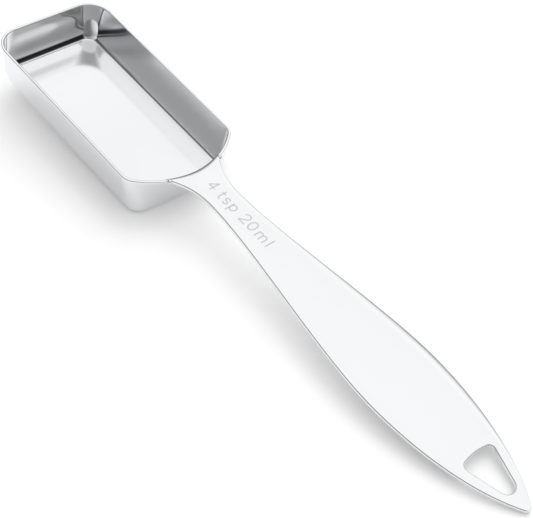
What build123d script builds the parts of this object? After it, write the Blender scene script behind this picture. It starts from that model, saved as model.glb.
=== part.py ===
from build123d import *
import math
import os

# Measuring spoon: a drawn steel bowl, a stamped steel handle seated in its rim, and their welds.
# All sizes are in millimetres. The pieces are built with the rim in the plane z = 0, the handle
# along +X and x = 0 where the sides of the handle's root meet the rim. Then the spoon is laid
# down as it rests, on the near edge of its base and the tip of its handle.

# Bowl
bowl_length = 65.5
bowl_width = 33.5
bowl_depth = 11.85
sheet = 0.8
near_reach = 1.4
near_end_radius = 22.8
near_corner_radius = 4.0
far_corner_radius = 6.9
near_draft = 3.7
far_draft = 1.2
side_draft = 1.85
base_far_corner_radius = 6.6
floor_far_corner_radius = 1.6
base_edge_radius = 1.75
rim_round = 0.3

# Handle
handle_length = 113.0
handle_thickness = 1.2
handle_lift = 0.4
root_half_width = 7.8
neck_half_width = 4.32
belly_half_width = 10.8
neck_place = 11.6
belly_place = 73.2
tip_radius = 1.3
edge_round = 0.3
root_bend_radius = 1.0

# How far each flank curve keeps the direction of its two ends
root_reach = 1.2
root_fall = 0.45
neck_reach_to_root = 7.3
neck_reach_to_belly = 16.3
belly_reach_to_neck = 17.3
belly_reach_to_tip = 7.2
tip_reach = 12.9
tip_rise = 9.8

# How far the crowned face would fall from its middle over the belly's half width
root_crown = 0.05
neck_crown = 1.25
belly_crown = 0.9
slab_sections = 16

# Hanging hole
hole_tip_gap = 5.9
hole_length = 11.3
hole_half_width = 4.55
hole_back_bow = 0.35
hole_front_radius = 2.2
hole_back_radius = 1.3

# Welds
bead_radius = 0.8
bead_drop = 0.05
bead_place = 0.1
seam_leg = 1.1
seam_sink = 0.6
seam_half_length = 5.2

# Cuts run past the faces by this much, and the bend crosses the face at a slight angle
overrun = 3.0
bend_sink = 0.03


def pan_outline(height, far_x, half, far_radius):
    """Level outline with two round far corners, its near end left long to be cut to shape."""
    with BuildSketch(Plane.XY.offset(height)) as sketch:
        with BuildLine():
            Polyline((overrun, half), (far_x, half), (far_x, -half), (overrun, -half), close=True)
        make_face()
        fillet(sketch.vertices().sort_by(Axis.X)[:2], far_radius)
    return sketch.sketch


def near_limit(height, near_x, end_radius):
    """Level region wider than the bowl, its near edge arched, or straight where the radius is 0."""
    half = bowl_width / 2 + overrun
    bow = end_radius - math.sqrt(end_radius**2 - half**2) if end_radius else 0
    left = (near_x - bow, -half)
    right = (near_x - bow, half)
    back = -bowl_length - overrun
    with BuildSketch(Plane.XY.offset(height)) as sketch:
        with BuildLine():
            if end_radius:
                ThreePointArc(left, (near_x, 0), right)
            else:
                Line(left, right)
            Polyline(right, (back, half), (back, -half), left)
        make_face()
    return sketch.sketch


def drawn_block(skin, floor, base_far_radius):
    """Solid from the rim down to a floor, its walls leaning in evenly, one skin inside the bowl."""
    depth_share = floor / bowl_depth
    near_x = near_reach - skin
    far_x = near_reach - bowl_length + skin
    half = bowl_width / 2 - skin
    pan = loft(
        [
            pan_outline(0, far_x, half, far_corner_radius - skin),
            pan_outline(
                -floor,
                far_x + far_draft * depth_share,
                half - side_draft * depth_share,
                base_far_radius,
            ),
        ],
        ruled=True,
    )
    near_end = loft(
        [
            near_limit(0, near_x, near_end_radius - skin),
            near_limit(-floor, near_x - near_draft * depth_share, 0),
        ],
        ruled=True,
    )
    block = pan & near_end
    upright = block.edges().filter_by(lambda edge: edge.bounding_box().size.Z > floor * 0.9)
    block = fillet(upright.group_by(Axis.X)[-1], near_corner_radius - skin)
    return fillet(block.edges().group_by(Axis.Z)[0], base_edge_radius - skin)


def flank(side):
    """One side of the handle from its root to its tip, side being 1 or -1: three smooth curves."""
    root = (0, side * root_half_width)
    neck = (neck_place, side * neck_half_width)
    belly = (belly_place, side * belly_half_width)
    tip = (handle_length, 0)
    Bezier(
        root,
        (root_reach, side * (root_half_width - root_fall)),
        (neck_place - neck_reach_to_root, side * neck_half_width),
        neck,
    )
    Bezier(
        neck,
        (neck_place + neck_reach_to_belly, side * neck_half_width),
        (belly_place - belly_reach_to_neck, side * belly_half_width),
        belly,
    )
    Bezier(
        belly,
        (belly_place + belly_reach_to_tip, side * belly_half_width),
        (handle_length - tip_reach, side * tip_rise),
        tip,
    )


def handle_outline():
    """Plan of the handle, with its root running back across the thickness of the bowl's wall."""
    back = -sheet - overrun
    back_half = root_half_width - back * root_fall / root_reach
    with BuildSketch() as sketch:
        with BuildLine():
            flank(1)
            flank(-1)
            Polyline(
                (0, root_half_width),
                (back, back_half),
                (back, -back_half),
                (0, -root_half_width),
            )
        make_face()
        fillet(sketch.vertices().sort_by(Axis.X)[-1], tip_radius)
    return sketch.sketch


def hole_outline():
    """Plan of the hanging hole: a triangle with a bowed back and three round corners."""
    hole_back_place = handle_length - hole_tip_gap - hole_length
    front_centre = hole_back_place + hole_length - hole_front_radius
    back_x = hole_back_place + hole_back_bow
    rise = hole_half_width - hole_back_radius
    run = front_centre - back_x - hole_back_radius
    span = math.hypot(rise, run)
    lean = math.atan2(rise, run) - math.asin((hole_front_radius - hole_back_radius) / span)
    apex_x = front_centre + hole_front_radius / math.sin(lean)
    back_half = (apex_x - back_x) * math.tan(lean)
    with BuildSketch() as sketch:
        with BuildLine():
            ThreePointArc((back_x, -back_half), (hole_back_place, 0), (back_x, back_half))
            Polyline((back_x, back_half), (apex_x, 0), (back_x, -back_half))
        make_face()
        fillet(sketch.vertices().sort_by(Axis.X)[-1], hole_front_radius)
        fillet(sketch.vertices().sort_by(Axis.X)[:2], hole_back_radius)
    return sketch.sketch


def half_width(place):
    """Half width of the handle's plan at a place along it, or 0 beyond its tip."""
    across = Line((place, -bowl_width), (place, bowl_width)) & handle_outline()
    return sum(edge.length for edge in across.edges()) / 2 if across else 0


def crown(place):
    """Crown at a place along the handle, changing evenly from root to neck to belly."""
    if place < neck_place:
        start, end, share = root_crown, neck_crown, max(place / neck_place, 0)
    else:
        start, end = neck_crown, belly_crown
        share = min((place - neck_place) / (belly_place - neck_place), 1)
    return start + (end - start) * share


def slab_section(place, spare):
    """Upright section of the slab: an arched underside, and a top of the same arch above it.

    Its middle is as high above the root as its crown falls to the plan's edge, so the long edges
    of the handle stay level.
    """
    half = belly_half_width + overrun
    fall = crown(place) * (half / belly_half_width) ** 2
    rise = crown(place) * (half_width(place) / belly_half_width) ** 2
    top = handle_lift + rise + spare
    under = handle_lift + rise - handle_thickness
    with BuildSketch(Plane(origin=(place, 0, 0), x_dir=(0, 1, 0), z_dir=(1, 0, 0))) as sketch:
        with BuildLine():
            ThreePointArc((-half, top - fall), (0, top), (half, top - fall))
            Line((half, top - fall), (half, under - fall))
            ThreePointArc((half, under - fall), (0, under), (-half, under - fall))
            Line((-half, under - fall), (-half, top - fall))
        make_face()
    return sketch.sketch


def crowned_slab(spare):
    """Slab as long as the handle, crowned across, its top thicker by a spare."""
    start = -sheet - overrun - overrun
    step = (handle_length + overrun - start) / (slab_sections - 1)
    return loft([slab_section(start + step * index, spare) for index in range(slab_sections)])


def eased(plate):
    """The stamped plate with the long edges of its two faces and of its hole rounded over."""
    back = -sheet - overrun
    faces = plate.faces().sort_by(SortBy.AREA)[-2:]
    edges = faces.edges().filter_by(lambda edge: edge.center().X > back + edge_round)
    return fillet(edges, edge_round)


def root_bend():
    """Cutter that bends the inner end of the root down into the bowl, along its arched wall."""
    top_z = handle_lift + bend_sink
    middle_z = top_z - root_bend_radius
    inner_x = near_reach - sheet + middle_z * near_draft / bowl_depth - bend_sink
    middle_x = inner_x + root_bend_radius
    slant = root_bend_radius * math.sqrt(0.5)
    back = -sheet - overrun
    with BuildSketch(Plane.XZ) as sketch:
        with BuildLine():
            ThreePointArc(
                (middle_x, top_z),
                (middle_x - slant, middle_z + slant),
                (inner_x, middle_z),
            )
            Polyline(
                (inner_x, middle_z),
                (back, middle_z),
                (back, overrun),
                (middle_x, overrun),
                (middle_x, top_z),
            )
        make_face()
    return revolve(sketch.sketch, near_axis, 360)


def seam_ring():
    """Bar that fills the corner under the handle's root, along the arch of the bowl's wall.

    It is bent round the arch's centre and reaches into the steel, which is cut out of it later.
    """
    under = handle_lift - handle_thickness
    top = handle_lift - handle_thickness / 2
    foot = under - seam_leg
    foot_x = near_reach + foot * near_draft / bowl_depth
    with BuildSketch(Plane.XZ) as sketch:
        with BuildLine():
            Polyline(
                (near_reach - seam_sink, top),
                (near_reach + seam_leg, top),
                (near_reach + seam_leg, under),
                (foot_x - seam_sink / 3, foot),
                (foot_x - seam_sink, foot),
                close=True,
            )
        make_face()
    turn = math.degrees(2 * seam_half_length / near_end_radius)
    ring = revolve(sketch.sketch, near_axis, turn)
    return ring.rotate(near_axis, -turn / 2)


def rest_tilt(tip_x):
    """Angle in degrees by which the spoon leans onto the tip of its handle when it lies free."""
    lean = math.atan2(near_draft, bowl_depth)
    heel_z = base_edge_radius - bowl_depth
    wall_x = near_reach + heel_z * near_draft / bowl_depth
    heel_x = wall_x - base_edge_radius / math.cos(lean)
    run = tip_x - edge_round - heel_x
    rise = edge_round + handle_lift - handle_thickness - heel_z
    turn = math.asin((base_edge_radius - edge_round) / math.hypot(run, rise))
    return math.degrees(math.atan2(rise, run) + turn)


# Upright line that the near end of the bowl is arched around
near_axis = Axis((near_reach - near_end_radius, 0, 0), (0, 0, 1))

# Bowl before its wall is notched for the root of the handle
outer_block = drawn_block(0, bowl_depth, base_far_corner_radius)
cavity = drawn_block(sheet, bowl_depth - sheet, floor_far_corner_radius)
shell = outer_block - cavity
shell = fillet(shell.faces().sort_by(Axis.Z)[-1].edges(), rim_round)

# Handle, flush with the inner face of the wall, in its notch
plan = extrude(handle_outline(), amount=bowl_depth, both=True)
hole = extrude(hole_outline(), amount=bowl_depth, both=True)
plate = eased((plan - hole) & crowned_slab(0))
handle = plate - root_bend() - cavity
bowl = shell - handle - (plan & crowned_slab(overrun))

# Welds
bead = Pos(bead_place, root_half_width, -bead_drop) * Sphere(bead_radius)
left_bead = bead - bowl - handle
right_bead = mirror(bead, Plane.XZ) - bowl - handle
root_weld = seam_ring() - bowl - handle

pieces = {
    "bowl": bowl,
    "handle": handle,
    "weld_bead_left": left_bead,
    "weld_bead_right": right_bead,
    "root_weld": root_weld,
}

# Laid down at rest, and centred over its length
tilt = rest_tilt(plate.bounding_box().max.X)
laid = {name: Rot(0, tilt, 0) * piece for name, piece in pieces.items()}
boxes = [piece.bounding_box() for piece in laid.values()]
low_x = min(box.min.X for box in boxes)
high_x = max(box.max.X for box in boxes)
low_z = min(box.min.Z for box in boxes)
to_rest = Pos(-(low_x + high_x) / 2, 0, -low_z)

os.makedirs("parts", exist_ok=True)
for name, piece in laid.items():
    placed = to_rest * piece
    placed.label = name
    export_step(placed, f"parts/{name}.step")
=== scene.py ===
"""Dressed model of a steel measuring spoon with an oblong bowl and a leaf-shaped handle.

The surfaces are worked out in millimetres in the spoon's own frame: the rim lies in the plane
z = 0, the handle points along +X, and x = 0 is where the rim meets the middle of the handle.
RestPose then lays them down in the scene, in metres, as the spoon rests on a table.
"""

import logging
import math
from dataclasses import dataclass, field, replace
from enum import Enum

import bpy
import numpy as np
from mathutils import Matrix, Vector


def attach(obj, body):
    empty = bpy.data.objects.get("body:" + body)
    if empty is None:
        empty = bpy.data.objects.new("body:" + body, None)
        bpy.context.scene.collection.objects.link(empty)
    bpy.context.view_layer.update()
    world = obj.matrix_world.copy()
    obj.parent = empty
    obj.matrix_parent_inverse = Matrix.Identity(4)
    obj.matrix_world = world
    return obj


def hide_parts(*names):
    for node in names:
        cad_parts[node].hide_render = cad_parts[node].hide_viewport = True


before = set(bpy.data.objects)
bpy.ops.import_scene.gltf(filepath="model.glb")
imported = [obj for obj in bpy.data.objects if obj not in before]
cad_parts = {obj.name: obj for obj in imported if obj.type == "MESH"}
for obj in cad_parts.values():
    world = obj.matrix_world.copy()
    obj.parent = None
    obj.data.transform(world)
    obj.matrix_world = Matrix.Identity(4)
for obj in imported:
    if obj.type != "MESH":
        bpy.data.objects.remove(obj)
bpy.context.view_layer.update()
LOG = logging.getLogger("measuring_spoon")
MILLIMETRE = 0.001


# Resting place


@dataclass(frozen=True)
class RestPose:
    """How the spoon lies: leaning onto the tip of its handle, centred over its length."""

    tilt_deg: float = 5.474609
    slide: float = -23.884936
    lift: float = 11.467473

    def turn(self) -> np.ndarray:
        """Rotation about Y that brings the tip down.

        Returns:
            The rotation matrix.
        """
        angle = math.radians(self.tilt_deg)
        c, s = math.cos(angle), math.sin(angle)
        return np.array([[c, 0.0, s], [0.0, 1.0, 0.0], [-s, 0.0, c]])

    def place(self, points: np.ndarray) -> np.ndarray:
        """Points of the spoon's own frame in the scene.

        Args:
            points: places in millimetres, one per row.

        Returns:
            The same places at rest, in metres.
        """
        return (points @ self.turn().T + [self.slide, 0.0, self.lift]) * MILLIMETRE

    def direction(self, vector: tuple[float, float, float]) -> Vector:
        """A direction of the spoon's own frame, turned as the spoon lies."""
        return Vector((self.turn() @ np.array(vector)).tolist())


REST = RestPose()


# Surfaces


@dataclass
class Surface:
    """Vertices, four-sided faces and one value per vertex for each named attribute."""

    points: np.ndarray
    faces: np.ndarray
    values: dict[str, np.ndarray] = field(default_factory=dict)

    def joined(self, other: "Surface") -> "Surface":
        """This surface and another as one, with the attributes that both have.

        Args:
            other: the other surface.

        Returns:
            Both, with their faces still apart.
        """
        names = self.values.keys() & other.values.keys()
        return Surface(
            np.concatenate([self.points, other.points]),
            np.concatenate([self.faces, other.faces + len(self.points)]),
            {name: np.concatenate([self.values[name], other.values[name]]) for name in names},
        )

    def mirrored(self) -> "Surface":
        """The same surface on the other side of the plane y = 0, still facing outwards."""
        return Surface(self.points * [1.0, -1.0, 1.0], self.faces[:, ::-1], dict(self.values))

    def welded(self, reach: float = 1e-4) -> "Surface":
        """The surface with vertices that share a place made one, and no collapsed faces.

        Args:
            reach: grid step in millimetres within which places count as the same.

        Returns:
            The closed surface.
        """
        keys = np.round(self.points / reach).astype(np.int64)
        _, first, inverse = np.unique(keys, axis=0, return_index=True, return_inverse=True)
        faces = inverse.reshape(-1)[self.faces]
        sides = (faces != np.roll(faces, -1, axis=1)).sum(axis=1)
        crossed = (faces[:, :2] == faces[:, 2:]).any(axis=1)
        whole = (sides >= 3) & ~crossed
        used, faces = np.unique(faces[whole], return_inverse=True)
        first = first[used]
        return Surface(
            self.points[first],
            faces.reshape(-1, 4),
            {name: value[first] for name, value in self.values.items()},
        )


def sheet_faces(rows: int, columns: int, closed: bool) -> np.ndarray:
    """Faces of a grid whose vertices are numbered row by row.

    Args:
        rows: number of rows.
        columns: number of vertices in a row.
        closed: whether the last column meets the first.

    Returns:
        Four vertex numbers per face.
    """
    wide = columns if closed else columns - 1
    row, column = np.meshgrid(np.arange(rows - 1), np.arange(wide), indexing="ij")
    after = (column + 1) % columns
    quad = [row * columns + column, row * columns + after]
    quad += [(row + 1) * columns + after, (row + 1) * columns + column]
    return np.stack(quad, axis=-1).reshape(-1, 4)


def ease(start: float, end: float, value: np.ndarray) -> np.ndarray:
    """Smooth step from 0 at start to 1 at end: 3t^2 - 2t^3 of the clipped share t."""
    share = np.clip((value - start) / (end - start), 0.0, 1.0)
    return share * share * (3.0 - 2.0 * share)


def put_in_scene(name: str, surface: Surface, material: bpy.types.Material) -> bpy.types.Object:
    """Makes a smooth-shaded object of a surface, at the scene's origin, riding on the spoon.

    Args:
        name: the piece's name.
        surface: its surface in the spoon's own frame.
        material: its finish.

    Returns:
        The object.
    """
    welded = surface.welded()
    places = REST.place(welded.points)
    loops, starts, totals = flat_loops(welded.faces)
    mesh = bpy.data.meshes.new(name)
    mesh.vertices.add(len(places))
    mesh.vertices.foreach_set("co", places.astype(np.float32).ravel())
    mesh.loops.add(len(loops))
    mesh.loops.foreach_set("vertex_index", loops.astype(np.int32))
    mesh.polygons.add(len(starts))
    mesh.polygons.foreach_set("loop_start", starts.astype(np.int32))
    mesh.polygons.foreach_set("loop_total", totals.astype(np.int32))
    mesh.polygons.foreach_set("use_smooth", np.ones(len(starts), dtype=bool))
    mesh.update(calc_edges=True)
    mesh.validate()
    for label, value in welded.values.items():
        layer = mesh.attributes.new(label, "FLOAT", "POINT")
        layer.data.foreach_set("value", value.astype(np.float32))
    mesh.materials.append(material)
    piece = bpy.data.objects.new(name, mesh)
    bpy.context.scene.collection.objects.link(piece)
    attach(piece, "root")
    return piece


def flat_loops(faces: np.ndarray) -> tuple[np.ndarray, np.ndarray, np.ndarray]:
    """Corner list of faces with three or four sides, where a three-sided one repeats a vertex.

    Args:
        faces: four vertex numbers per face.

    Returns:
        All corners in order, and where each face starts and how many corners it has.
    """
    keep = faces != np.roll(faces, -1, axis=1)
    totals = keep.sum(axis=1)
    starts = np.concatenate([[0], np.cumsum(totals)[:-1]])
    return faces[keep], starts, totals


# Finishes


class Tone(Enum):
    """Steel colours, as linear red, green and blue."""

    SHEET = (0.93, 0.935, 0.945, 1.0)
    WELD = (0.9, 0.905, 0.915, 1.0)


# Polishing lines per metre along, across and up, their depth in millimetres, clouds of haze per
# metre, how much thick haze darkens the steel, and the least roughness that polishing reaches.
POLISH_LINES = (60.0, 2600.0, 2600.0)
LINE_HEIGHT = 0.0006
HAZE_SCALE = 90.0
HAZE_SHADE = -0.6
SMOOTHEST = 0.02


def new_material(name: str) -> tuple[bpy.types.Material, bpy.types.NodeTree, bpy.types.Node]:
    """An empty node material with its output.

    Args:
        name: the material's name.

    Returns:
        The material, its node tree and its output node.
    """
    material = bpy.data.materials.new(name)
    material.use_nodes = True
    tree = material.node_tree
    tree.nodes.clear()
    return material, tree, tree.nodes.new("ShaderNodeOutputMaterial")


def sum_of(
    tree: bpy.types.NodeTree, kind: str, left: object, right: object, last: object = None
) -> bpy.types.NodeSocket:
    """The result of one operation on sockets or numbers.

    Args:
        tree: the node tree.
        kind: the operation's name.
        left: its first socket or number.
        right: its second one.
        last: its third one, if it has three.

    Returns:
        The result's socket.
    """
    node = tree.nodes.new("ShaderNodeMath")
    node.operation = kind
    for slot, value in zip(node.inputs, (left, right, last)):
        if isinstance(value, bpy.types.NodeSocket):
            tree.links.new(value, slot)
        elif value is not None:
            slot.default_value = value
    return node.outputs[0]


def noise(tree: bpy.types.NodeTree, places: bpy.types.NodeSocket, detail: float) -> bpy.types.Node:
    """Soft noise over places of the piece, with its scale left to the caller.

    Args:
        tree: the node tree.
        places: socket that gives the places.
        detail: how many finer layers the noise has.

    Returns:
        The noise node.
    """
    node = tree.nodes.new("ShaderNodeTexNoise")
    node.inputs["Detail"].default_value = detail
    tree.links.new(places, node.inputs["Vector"])
    return node


def polish_group() -> bpy.types.NodeTree:
    """Node group for polished steel: fine lines along the spoon, soft hazes and pressed waves.

    Roughness is the gloss plus the lines and the haze, each about its middle. The tint is a
    little darker where the haze is thick. The normal follows waves and, faintly, the lines.

    Returns:
        The group, with a roughness, a tint and a normal that change over the surface.
    """
    group = bpy.data.node_groups.get("steel_polish")
    if group:
        return group
    group = bpy.data.node_groups.new("steel_polish", "ShaderNodeTree")
    sockets, nodes, links = group.interface, group.nodes, group.links
    for label in ("Lines", "Haze", "Gloss", "Wave Height", "Wave Size"):
        sockets.new_socket(label, in_out="INPUT", socket_type="NodeSocketFloat")
    sockets.new_socket("Tint", in_out="INPUT", socket_type="NodeSocketColor")
    for label, kind in (("Roughness", "Float"), ("Colour", "Color"), ("Normal", "Vector")):
        sockets.new_socket(label, in_out="OUTPUT", socket_type="NodeSocket" + kind)
    given = nodes.new("NodeGroupInput").outputs
    put = nodes.new("NodeGroupOutput").inputs
    places = nodes.new("ShaderNodeTexCoord").outputs["Object"]
    stretch = nodes.new("ShaderNodeMapping")
    stretch.inputs["Scale"].default_value = POLISH_LINES
    links.new(places, stretch.inputs["Vector"])
    lines = noise(group, stretch.outputs["Vector"], 3.0)
    lines.inputs["Scale"].default_value = 1.0
    haze = noise(group, places, 4.0)
    haze.inputs["Scale"].default_value = HAZE_SCALE
    wave = noise(group, places, 1.0)
    links.new(given["Wave Size"], wave.inputs["Scale"])

    middle = [sum_of(group, "SUBTRACT", node.outputs["Fac"], 0.5) for node in (lines, haze)]
    line_part = sum_of(group, "MULTIPLY", middle[0], given["Lines"])
    haze_part = sum_of(group, "MULTIPLY", middle[1], given["Haze"])
    rough = sum_of(group, "ADD", sum_of(group, "ADD", line_part, haze_part), given["Gloss"])
    links.new(sum_of(group, "MAXIMUM", rough, SMOOTHEST), put["Roughness"])

    shade = nodes.new("ShaderNodeHueSaturation")
    links.new(given["Tint"], shade.inputs["Color"])
    links.new(sum_of(group, "MULTIPLY_ADD", haze_part, HAZE_SHADE, 1.0), shade.inputs["Value"])
    links.new(shade.outputs["Color"], put["Colour"])

    swell = sum_of(group, "MULTIPLY", wave.outputs["Fac"], given["Wave Height"])
    bump = nodes.new("ShaderNodeBump")
    bump.inputs["Strength"].default_value = 1.0
    bump.inputs["Distance"].default_value = MILLIMETRE
    height = sum_of(group, "MULTIPLY_ADD", lines.outputs["Fac"], LINE_HEIGHT, swell)
    links.new(height, bump.inputs["Height"])
    links.new(bump.outputs["Normal"], put["Normal"])
    return group


@dataclass(frozen=True)
class Trace:
    """A look that an attribute of the mesh mixes in: cut strokes, or painted shade in a fold or on
    a bend.
    """

    label: str
    colour: tuple[float, float, float, float]
    rough: float


@dataclass(frozen=True)
class SteelFinish:
    """Polished stainless steel of one piece, with its own gloss, lines and pressed waves."""

    name: str
    gloss: float
    lines: float
    haze: float
    wave_height: float
    wave_size: float
    tone: Tone = Tone.SHEET
    trace: Trace | None = None

    def build(self) -> bpy.types.Material:
        """The finish as a material.

        Returns:
            A metal whose roughness, colour and normal come from the polish group, with its
            trace, if it has one, mixed in.
        """
        material, tree, output = new_material(self.name)
        nodes, links = tree.nodes, tree.links
        polish = nodes.new("ShaderNodeGroup")
        polish.node_tree = polish_group()
        given = {
            "Lines": self.lines,
            "Haze": self.haze,
            "Gloss": self.gloss,
            "Wave Height": self.wave_height,
            "Wave Size": self.wave_size,
            "Tint": self.tone.value,
        }
        for label, value in given.items():
            polish.inputs[label].default_value = value
        steel = nodes.new("ShaderNodeBsdfPrincipled")
        steel.inputs["Metallic"].default_value = 1.0
        links.new(polish.outputs["Normal"], steel.inputs["Normal"])
        colour, rough = polish.outputs["Colour"], polish.outputs["Roughness"]
        if self.trace:
            share = nodes.new("ShaderNodeAttribute")
            share.attribute_name = self.trace.label
            darker = nodes.new("ShaderNodeMix")
            darker.data_type = "RGBA"
            links.new(share.outputs["Fac"], darker.inputs["Factor"])
            links.new(colour, darker.inputs["A"])
            darker.inputs["B"].default_value = self.trace.colour
            matt = nodes.new("ShaderNodeMix")
            links.new(share.outputs["Fac"], matt.inputs["Factor"])
            links.new(rough, matt.inputs["A"])
            matt.inputs["B"].default_value = self.trace.rough
            colour, rough = darker.outputs["Result"], matt.outputs["Result"]
        links.new(colour, steel.inputs["Base Color"])
        links.new(rough, steel.inputs["Roughness"])
        links.new(steel.outputs["BSDF"], output.inputs["Surface"])
        return material


# Bowl


@dataclass
class Outline:
    """One level outline of the bowl: an arched near end, straight sides and four round corners."""

    near: float
    far: float
    half: float
    near_radius: float
    far_radius: float
    end_radius: float

    def near_corner(self) -> tuple[np.ndarray, float, float]:
        """Near corner on the +Y side.

        Returns:
            The centre of its arc, and the angles at which the arc leaves the near end and
            meets the side. The arc touches the side line y = half and, from inside, the end's
            large arc.
        """
        y = self.half - self.near_radius
        middle = self.near - self.end_radius
        x = middle + math.sqrt((self.end_radius - self.near_radius) ** 2 - y**2)
        return np.array([x, y]), math.atan2(y, x - middle), math.pi / 2

    def points(self, end: np.ndarray, counts: tuple[int, int, int, int]) -> np.ndarray:
        """Half of the outline, from the middle of the near end to the middle of the far end.

        Args:
            end: shares of the way along the near end, from 0 to 1.
            counts: steps on the near corner, side, far corner and far end.

        Returns:
            x and y per row.
        """
        centre, start, stop = self.near_corner()
        large = self.end_radius
        angle = end * start
        near = np.stack([self.near - large + large * np.cos(angle), large * np.sin(angle)], 1)
        angle = np.linspace(start, stop, counts[0] + 1)[1:, None]
        corner = centre + self.near_radius * np.concatenate([np.cos(angle), np.sin(angle)], 1)
        far_centre = np.array([self.far + self.far_radius, self.half - self.far_radius])
        share = np.linspace(0.0, 1.0, counts[1] + 1)[1:, None]
        side_end = far_centre + [0.0, self.far_radius]
        side = corner[-1] + (side_end - corner[-1]) * share
        angle = np.linspace(math.pi / 2, math.pi, counts[2] + 1)[1:, None]
        turn = far_centre + self.far_radius * np.concatenate([np.cos(angle), np.sin(angle)], 1)
        share = np.linspace(0.0, 1.0, counts[3] + 1)[1:, None]
        back = turn[-1] * [1.0, 0.0] + turn[-1] * [0.0, 1.0] * (1.0 - share)
        return np.concatenate([near, corner, side, turn, back])


@dataclass
class Bowl:
    """The drawn pan: leaning walls, a rounded base edge, a flat floor and a ground rim."""

    length: float = 65.5
    width: float = 33.5
    depth: float = 11.85
    sheet: float = 0.8
    near_reach: float = 1.4
    near_end_radius: float = 22.8
    base_near_end_radius: float = 4000.0
    near_corner_radius: float = 4.0
    far_corner_radius: float = 6.9
    near_draft: float = 3.7
    far_draft: float = 1.2
    side_draft: float = 1.85
    base_far_corner_radius: float = 6.6
    floor_far_corner_radius: float = 1.6
    base_edge_radius: float = 1.75
    rim_round: float = 0.3
    outer_rim_round: float = 0.42
    side_wave: float = 0.08
    side_rise: tuple[float, float] = (0.4, 2.1)
    side_fall: tuple[float, float] = (2.6, 10.4)
    side_wave_from: tuple[float, float] = (-60.0, -50.0)
    side_wave_to: tuple[float, float] = (-12.0, -6.0)
    far_wave: float = 0.26
    far_rise: tuple[float, float] = (2.0, 5.6)
    far_fall: tuple[float, float] = (5.8, 9.2)
    far_wave_half_width: float = 11.5
    side_crease: tuple[float, float] = (0.3, 0.7)
    side_crease_level: float = 0.7
    far_crease: tuple[float, float] = (1.2, 1.4)
    crease_foot: tuple[float, float] = (-0.01, 0.12)
    notch_side: float = 8.12
    notch_depth: float = 0.8
    notch_round: float = 0.02
    counts: tuple[int, int, int, int] = (30, 56, 30, 24)
    near_steps: int = 60
    finish: SteelFinish = SteelFinish(
        name="bowl_steel",
        gloss=0.11,
        lines=0.03,
        haze=0.03,
        wave_height=0.04,
        wave_size=60.0,
        # Painted shade: the fold between wall and floor is darkened to near black through its
        # attribute.
        trace=Trace("crease_shade", (0.05, 0.05, 0.055, 1.0), 0.4),
    )

    def outline(self, skin: float, share: float) -> np.ndarray:
        """Half outline one skin inside the bowl, at a share of the way from rim to base.

        Args:
            skin: how far inside the outer face.
            share: 0 at the rim and otherwise the share at the foot of the wall.

        Returns:
            x and y per row.
        """
        low_far = self.floor_far_corner_radius if skin > 0 else self.base_far_corner_radius
        shape = Outline(
            self.near_reach - skin - self.near_draft * share,
            self.near_reach + skin + self.far_draft * share - self.length,
            self.width / 2 - skin - self.side_draft * share,
            self.near_corner_radius - skin,
            low_far if share > 0 else self.far_corner_radius - skin,
            self.base_near_end_radius if share > 0 else self.near_end_radius - skin,
        )
        return shape.points(self.near_shares(), self.counts)

    def near_shares(self) -> np.ndarray:
        """Places of the columns along the near end.

        Returns:
            Shares of the way, evenly spaced, and close pairs at the side of the notch.
        """
        half = self.width / 2 - self.near_corner_radius
        reach = math.asin(half / (self.near_end_radius - self.near_corner_radius))
        side = math.asin(self.notch_side / self.near_end_radius) / reach
        even = np.linspace(0.0, 1.0, self.near_steps + 1)
        return np.unique(np.concatenate([even, side + np.array([-0.004, -0.001, 0.001, 0.004])]))

    def skin_rows(self, skin: float, floor: float, start: np.ndarray, rows: int) -> np.ndarray:
        """Rows of one face of the wall, from just under the rim to the middle of the floor.

        The wall is ruled between the outline at the rim and the outline at the floor. A round
        of constant radius joins it to the floor: from the wall's foot it runs in the plane of
        the wall's own direction w and the inward direction q, at R (sin t w + (1 - cos t) q).

        Args:
            skin: how far inside the outer face.
            floor: depth of the floor.
            start: depth per column at which the wall starts.
            rows: rows on the straight part of the wall.

        Returns:
            Places with the shape rows, columns, 3.
        """
        top = np.pad(self.outline(skin, 0.0), ((0, 0), (0, 1)))
        foot = self.outline(skin, floor / self.depth)
        foot = np.pad(foot, ((0, 0), (0, 1)), constant_values=-floor)
        radius = self.base_edge_radius - skin
        along = np.gradient(foot[:, :2], axis=0)
        inward = np.stack([-along[:, 1], along[:, 0], np.zeros(len(along))], 1)
        inward /= np.linalg.norm(inward, axis=1, keepdims=True)
        down = foot - top
        down /= np.linalg.norm(down, axis=1, keepdims=True)
        cosine = (down * inward).sum(1, keepdims=True)
        turn = np.arccos(cosine)
        across = (inward - cosine * down) / np.sin(turn)
        reach = radius * np.tan(turn / 2)
        heel = foot - down * reach
        first = top + down * (start / -down[:, 2])[:, None]
        share = np.linspace(0.0, 1.0, rows)[:, None, None]
        wall = first + (heel - first) * share
        step = np.linspace(0.0, 1.0, 13)[1:, None, None] * turn
        bend = heel + radius * (np.sin(step) * down + (1.0 - np.cos(step)) * across)
        toe = bend[-1]
        ends = toe[:, 0].min() + self.width / 2, toe[:, 0].max() - self.width / 2
        centre = np.stack([np.clip(toe[:, 0], *ends), np.zeros(len(toe)), toe[:, 2]], 1)
        share = np.array([0.01, 0.04, 0.12, 0.3, 0.6, 1.0])[:, None, None]
        base = toe + (centre - toe) * share
        return np.concatenate([wall, bend, base])

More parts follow.
